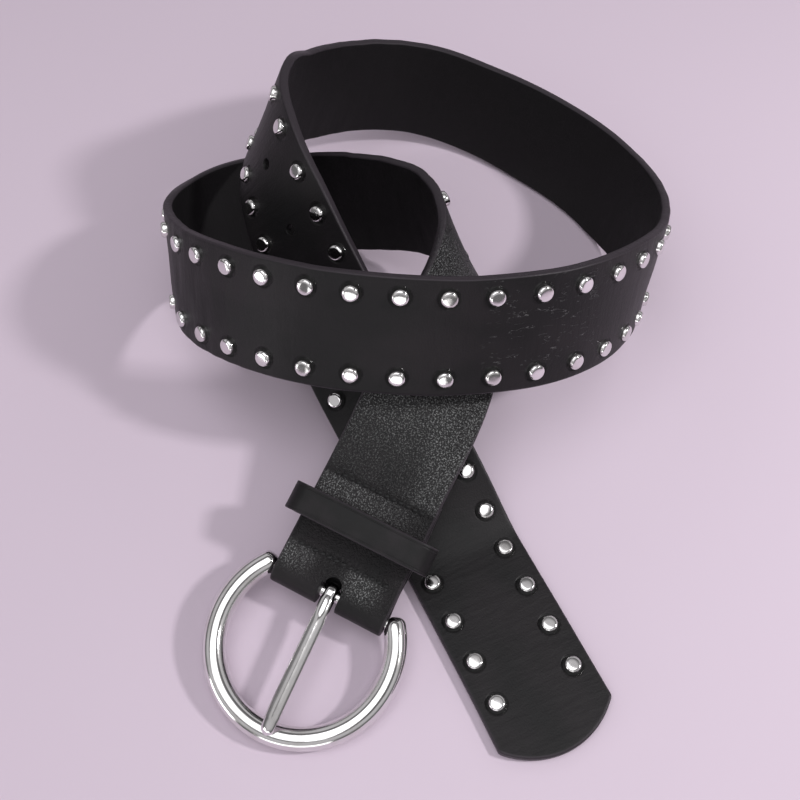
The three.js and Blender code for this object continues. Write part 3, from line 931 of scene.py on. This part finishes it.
# %% Forge the prong
PRONG_TURNS = 20
PRONG_CUTS = 60
BEND = math.radians(20)
TIP_SHARE_OF_HEIGHT = 0.7
TIP_LENGTH = 6 * MM
TIP_GAP = 0.3 * MM
TIP_SETBACK = 1.2 * MM
TIP_ROUND = 1.3 * MM
NECK_ROUND = 2.5 * MM
KNEE_REACH = 2.2 * MM
KNEE_DROP = 0.5 * MM
PRONG_ASKEW = math.radians(4)
EYE_SHARE = 0.86
EYE_BEVEL = 1.5 * MM
rest_height = WIRE_RADIUS + TIP_GAP + PRONG_HEIGHT * TIP_SHARE_OF_HEIGHT / 2
tip_x = BAR_SETBACK + RING_RADIUS + rest_height * math.sin(BEND) - TIP_SETBACK * math.cos(BEND)
tip_z = rest_height * math.cos(BEND) + TIP_SETBACK * math.sin(BEND)
knee_x, knee_z = tip_x - TIP_LENGTH * math.cos(BEND), tip_z + TIP_LENGTH * math.sin(BEND)
neck_z = EYE_RADIUS + PRONG_WALL - PRONG_HEIGHT / 2
PRONG_STATIONS = np.array([
    # share of the way to the knee, width, height, ridge
    (0.0, 1.0, 1.0, 0.0),
    (0.15, 1.0, 1.0, 0.0),
    (0.23, 1.0, 1.0, 1.0),
    (0.85, 0.97, 0.93, 1.0),
    (1.0, 0.95, 0.88, 1.0),
    (tip_x / knee_x, 0.85, 0.7, 0.75),
])


def forged(points):
    """Draws a round rod, one unit thick, out to the prong's middle line and sections."""
    x, y, z = points.T
    share = x / knee_x
    width, height, ridge = (np.interp(share, PRONG_STATIONS[:, 0], c) for c in PRONG_STATIONS[:, 1:].T)
    middle = np.interp(x, (0, knee_x, tip_x), (neck_z, knee_z, tip_z))
    soft = np.exp(-(((x - knee_x) / KNEE_REACH) ** 2)) * KNEE_DROP
    size = np.maximum(np.hypot(y, z), 1e-9)
    c, s = np.abs(y) / size, z / size
    faceted = 1 / np.maximum.reduce([c, np.abs(s), 0.9 * (c + s), 0.58 * (c + np.abs(s))])
    reach = 1 + ridge * (faceted - 1)
    reach = reach * (0.25 + 0.75 * np.sqrt(np.clip((tip_x - x) / TIP_ROUND, 0, 1)))
    reach = reach * (0.72 + 0.28 * np.sqrt(np.clip(x / NECK_ROUND, 0, 1)))
    return np.stack([
        x,
        y * reach * width * PRONG_WIDTH / 2 + x * math.tan(PRONG_ASKEW),
        middle - soft + z * reach * height * PRONG_HEIGHT / 2], axis=1)


prong = start("prong_blade", bpy.ops.mesh.primitive_cylinder_add, vertices=PRONG_TURNS, radius=1,
              depth=tip_x, rotation=(0, math.pi / 2, 0), location=(tip_x / 2, 0, 0))
edit(prong)
choose(prong, "EDGE", lambda middle: 0.4 * tip_x < middle.x < 0.6 * tip_x)
bpy.ops.mesh.subdivide(number_cuts=PRONG_CUTS)
done()
move_points(prong, forged(points_of(prong)))
outward(prong)
eye = start("eye", bpy.ops.mesh.primitive_cylinder_add, vertices=40, radius=EYE_REACH,
            depth=EYE_SHARE * PRONG_WIDTH, rotation=(math.pi / 2, 0, 0))
modify(eye, "BEVEL", width=EYE_BEVEL, segments=5, limit_method="ANGLE", angle_limit=math.radians(60))
combine(prong, eye, "UNION")
bore = start("bore", bpy.ops.mesh.primitive_cylinder_add, vertices=40, radius=EYE_RADIUS,
             depth=3 * PRONG_WIDTH, rotation=(math.pi / 2, 0, 0))
combine(prong, bore, "DIFFERENCE")
put(prong, BUCKLE_FRAME)
outward(prong)
smooth(prong, 24)
prong.data.materials.append(BUCKLE_METAL)
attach(prong, "prong")
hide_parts("prong")
report(prong)

# %% [markdown]
# ## The keeper
#
# The keeper is a narrow closed loop of leather, creased along both edges, that holds the tail of
# the belt. It is cut from the same hide as the strap, but it has no studs, holes or lining to show, so
# it has a shorter recipe of its own, which reads how far a place is from the loop's middle line.

# %% Leather of the keeper
KEEPER_WIDTH = 10 * MM
KEEPER_BLACK = (0.005, 0.0047, 0.0052, 1)


def keeper_finish():
    recipe = Recipe("keeper_leather_finish")
    flat = recipe.node("ShaderNodeAttribute", {"attribute_name": "flat"}, {}, "Vector")
    along, _, _ = recipe.parts(flat)
    from_rim = KEEPER_WIDTH / 2 / MM - recipe.maths("ABSOLUTE", along)
    crease = recipe.step(recipe.maths("ABSOLUTE", from_rim - 1.1), 0.35, 0.05)
    rim = recipe.step(from_rim, 0.55, 0.2)
    fine = recipe.noise(flat, 1.1, 4.0, 0.6)
    patches = recipe.noise(flat, 0.13, 2.0)
    tone = recipe.mix(recipe.step(patches, 0.4, 0.7), KEEPER_BLACK, WARM_BLACK)
    tone = recipe.mix(rim * 0.8, tone, RIM_GREY)
    height = fine * 0.06 - crease * 0.1
    rough = 0.44 + fine * 0.14 - rim * 0.05
    return recipe.finish(
        {"Specular IOR Level": LEATHER_GLOSS},
        {"Base Color": tone, "Roughness": rough, "Normal": recipe.bump(height)})


KEEPER_FINISH = keeper_finish()

# %% [markdown]
# The loop could be bent from a strip, but its ends would have to be joined. A tube has no ends: it is
# pulled apart into a long loop, given the leather's thickness and rounded at its cut edges. It sags a
# little in the middle, and its lower run lies between strap and flap.

# %% Pull a tube into the keeper
KEEPER_THICK = 2 * MM
KEEPER_ROUND = 0.35 * MM
KEEPER_SAG = 0.35 * MM
KEEPER_LENGTH = 54 * MM
KEEPER_ROOM = 5.6 * MM
lower = HALF_THICK - STRAP_THICK - KEEPER_BULGE / 2
upper = HALF_THICK + KEEPER_ROOM + KEEPER_THICK / 2
bend = (upper - lower) / 2
reach = KEEPER_LENGTH / 2 - KEEPER_THICK / 2 - bend

keeper = start("keeper_leather", bpy.ops.mesh.primitive_cylinder_add, vertices=48, radius=bend,
               depth=KEEPER_WIDTH, end_fill_type="NOTHING", rotation=(0, math.pi / 2, 0),
               location=(0, 0, (upper + lower) / 2))
edit(keeper)
for side in (1, -1):
    choose(keeper, "VERT", lambda middle: side * middle.y > 0.02 * MM)
    bpy.ops.transform.translate(value=(0, side * reach, 0))
choose(keeper, "EDGE", lambda middle: abs(middle.y) < reach / 2)
bpy.ops.mesh.subdivide(number_cuts=24)
choose(keeper, "EDGE", lambda middle: abs(middle.x) < 0.1 * MM)
bpy.ops.mesh.subdivide(number_cuts=7)
done()
modify(keeper, "SOLIDIFY", thickness=KEEPER_THICK, offset=0)
modify(keeper, "BEVEL", width=KEEPER_ROUND, segments=2, limit_method="ANGLE", angle_limit=math.radians(60))
keep_flat(keeper)
places = points_of(keeper)
above = places[:, 2] > (upper + lower) / 2
places[:, 2] -= KEEPER_SAG * np.cos(np.pi * places[:, 1] / KEEPER_LENGTH) * above
places[:, 0] += KEEPER_PLACE
move_points(keeper, places)
put(keeper, END_FRAME)
outward(keeper)
smooth(keeper, 50)
keeper.data.materials.append(KEEPER_FINISH)
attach(keeper, "belt")
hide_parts("keeper_loop")
report(keeper)

# %% [markdown]
# ## The stitching
#
# Two rows of thick black thread hold strap and flap together, on either side of the keeper. A bump
# could hint at them, but real stitches stand proud of their groove. The thread is waxed, with a fine
# twist that a stretched noise is enough for.


# %% Thread
def thread_finish():
    recipe = Recipe("waxed_thread")
    place = recipe.node("ShaderNodeTexCoord", {}, {}, "Object")
    twist = recipe.noise(recipe.scaled(place, (2400, 900, 2400)), 1.0, 2.0)
    colour = recipe.mix(twist, (0.003, 0.003, 0.0035, 1), (0.02, 0.02, 0.021, 1))
    return recipe.finish(
        {"Specular IOR Level": 0.4},
        {"Base Color": colour, "Roughness": 0.55 + 0.2 * twist, "Normal": recipe.bump(twist * 0.12)})


THREAD_FINISH = thread_finish()

# %% [markdown]
# Each stitch dives into the leather at both ends. One is modelled from a ball, pulled long and bent
# down at its ends, and then copied along each row, above and below, with a slight slant.

# %% Sew both rows
THREAD_RADIUS = 0.55 * MM
STITCH_LENGTH = 2.1 * MM
STITCH_DIVE = 0.55 * MM
STITCH_SUNK = 0.1 * MM
STITCH_SLANT = math.radians(9)

model = start("stitch", bpy.ops.mesh.primitive_uv_sphere_add, segments=10, ring_count=8,
              radius=THREAD_RADIUS, rotation=(math.pi / 2, 0, 0))
edit(model)
for side in (1, -1):
    choose(model, "VERT", lambda middle: side * middle.y > 0.01 * MM)
    bpy.ops.transform.translate(value=(0, side * (STITCH_LENGTH / 2 - THREAD_RADIUS), 0))
choose(model, "EDGE", lambda middle: abs(middle.y) < 0.1 * MM)
bpy.ops.mesh.subdivide(number_cuts=4)
done()
places = points_of(model)
places[:, 2] -= STITCH_DIVE * (places[:, 1] / (STITCH_LENGTH / 2)) ** 2
move_points(model, places)
smooth(model, 60)
stitches = []
count = int(2 * STITCH_REACH / STITCH_PITCH) + 1
for row in STITCH_ROWS:
    below = float(flap_height(np.array(row))) + STITCH_SUNK
    for i in range(count):
        y = (i - (count - 1) / 2) * STITCH_PITCH
        slant = Matrix.Rotation(STITCH_SLANT, 4, "Z")
        for height, turn in ((HALF_THICK - STITCH_SUNK, 0.0), (below, math.pi)):
            stitch = copy_of(model)
            flip = Matrix.Rotation(turn, 4, "Y")
            put(stitch, END_FRAME @ Matrix.Translation((row, y, height)) @ flip @ slant)
            stitches.append(stitch)
bpy.data.objects.remove(model)
stitching = join(stitches, "stitching")
stitching.data.materials.append(THREAD_FINISH)
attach(stitching, "belt")
report(stitching)

# %% [markdown]
# ## The floor
#
# The belt lies on a plain pale lilac floor. A plain colour would look like paper, so two close tones
# drift into each other. The floor is stage, not part of the belt.


# %% Floor
def pale_floor():
    recipe = Recipe("pale_floor")
    place = recipe.node("ShaderNodeTexCoord", {}, {}, "Object")
    cloudy = recipe.noise(place, 3.0, 2.0)
    tone = recipe.mix(cloudy, (0.66, 0.555, 0.655, 1), (0.69, 0.585, 0.685, 1))
    return recipe.finish({"Specular IOR Level": 0.2}, {"Base Color": tone, "Roughness": 0.75})


FLOOR_SIZE = 6
FLOOR_DROP = 0.2 * MM
floor = start("floor", bpy.ops.mesh.primitive_plane_add, size=FLOOR_SIZE, location=(0, 0, -FLOOR_DROP))
floor.data.materials.append(pale_floor())

# %% [markdown]
# ## The light
#
# The main light is a small soft panel on the right, which draws the shadows. A large panel above
# fills them, and two low ones in front give the upright leather its sheen and the studs their white
# tops. A sky texture could light the belt alone, but its colours would tint the metal.

# %% Light
KEY_HEIGHT = math.radians(44)
KEY_SIDE = math.radians(10)


def panel(name, direction, distance, size, power, colour):
    """A soft panel that shines on the middle of the belt, and that the camera doesn't see."""
    light = bpy.data.lights.new(name, "AREA")
    light.shape = "RECTANGLE"
    light.size, light.size_y = size
    light.energy = power
    light.color = colour
    lamp = bpy.data.objects.new(name, light)
    lamp.location = direction * distance
    lamp.rotation_euler = direction.to_track_quat("Z", "Y").to_euler()
    lamp.visible_camera = False
    bpy.context.scene.collection.objects.link(lamp)


key = Vector((math.cos(KEY_SIDE), -math.sin(KEY_SIDE), 0)) * math.cos(KEY_HEIGHT)
key.z = math.sin(KEY_HEIGHT)
above = Vector((-0.15, -0.22, 0.96)).normalized()
front = Vector((-0.2, -0.97, 0.12)).normalized()
left = Vector((-0.86, -0.5, 0.1)).normalized()
panel("key_panel", key, 0.9, (0.08, 0.08), 3.6, (1, 0.99, 0.99))
panel("top_panel", above, 1.0, (0.9, 0.9), 3.7, (0.98, 0.98, 1))
panel("front_panel", front, 1.2, (0.9, 0.3), 1.5, (1, 1, 1))
panel("left_panel", left, 1.2, (0.5, 0.3), 1.7, (1, 1, 1))

# %% [markdown]
# Metal looks dull in an empty room. This one is pale above and darker at its sides, with one dark
# band high up, so that the ring and the studs have light and dark to show.


# %% Room
def pale_room():
    room = Recipe("pale_room", "worlds")
    direction = room.node("ShaderNodeTexCoord", {}, {}, "Generated")
    rise = room.parts(direction)[2]
    band = room.step(rise, 0.7, 0.76) * room.step(rise, 0.95, 0.88)
    brightness = 0.28 + 0.72 * room.step(rise, 0.16, 0.46) - 0.75 * band
    tone = room.mix(brightness, (0.0, 0.0, 0.0, 1), (1.0, 0.98, 1.0, 1))
    return room.finish({"Strength": 0.55}, {"Color": tone})


bpy.context.scene.world = pale_room()
bpy.context.scene.view_settings.view_transform = "Standard"

# %% [markdown]
# ## The camera
#
# The camera looks down on the belt from the front. It is near enough that the ring and the tail look
# larger than the back of the coil, which a longer lens from farther away would even out.

# %% Camera
ELEVATION = math.radians(60.35)
DISTANCE = 392.5 * MM
TARGET = Vector((-6.2 * MM, -6.08 * MM, 0))

eye_at = TARGET + DISTANCE * Vector((0, -math.cos(ELEVATION), math.sin(ELEVATION)))
lens = bpy.data.cameras.new("camera")
lens.lens = 45
lens.sensor_width = 36
lens.clip_start = 0.01
camera = bpy.data.objects.new("camera", lens)
camera.location = eye_at
camera.rotation_euler = (TARGET - eye_at).to_track_quat("-Z", "Y").to_euler()
bpy.context.scene.collection.objects.link(camera)
bpy.context.scene.camera = camera
print("camera at", tuple(round(v, 3) for v in eye_at))
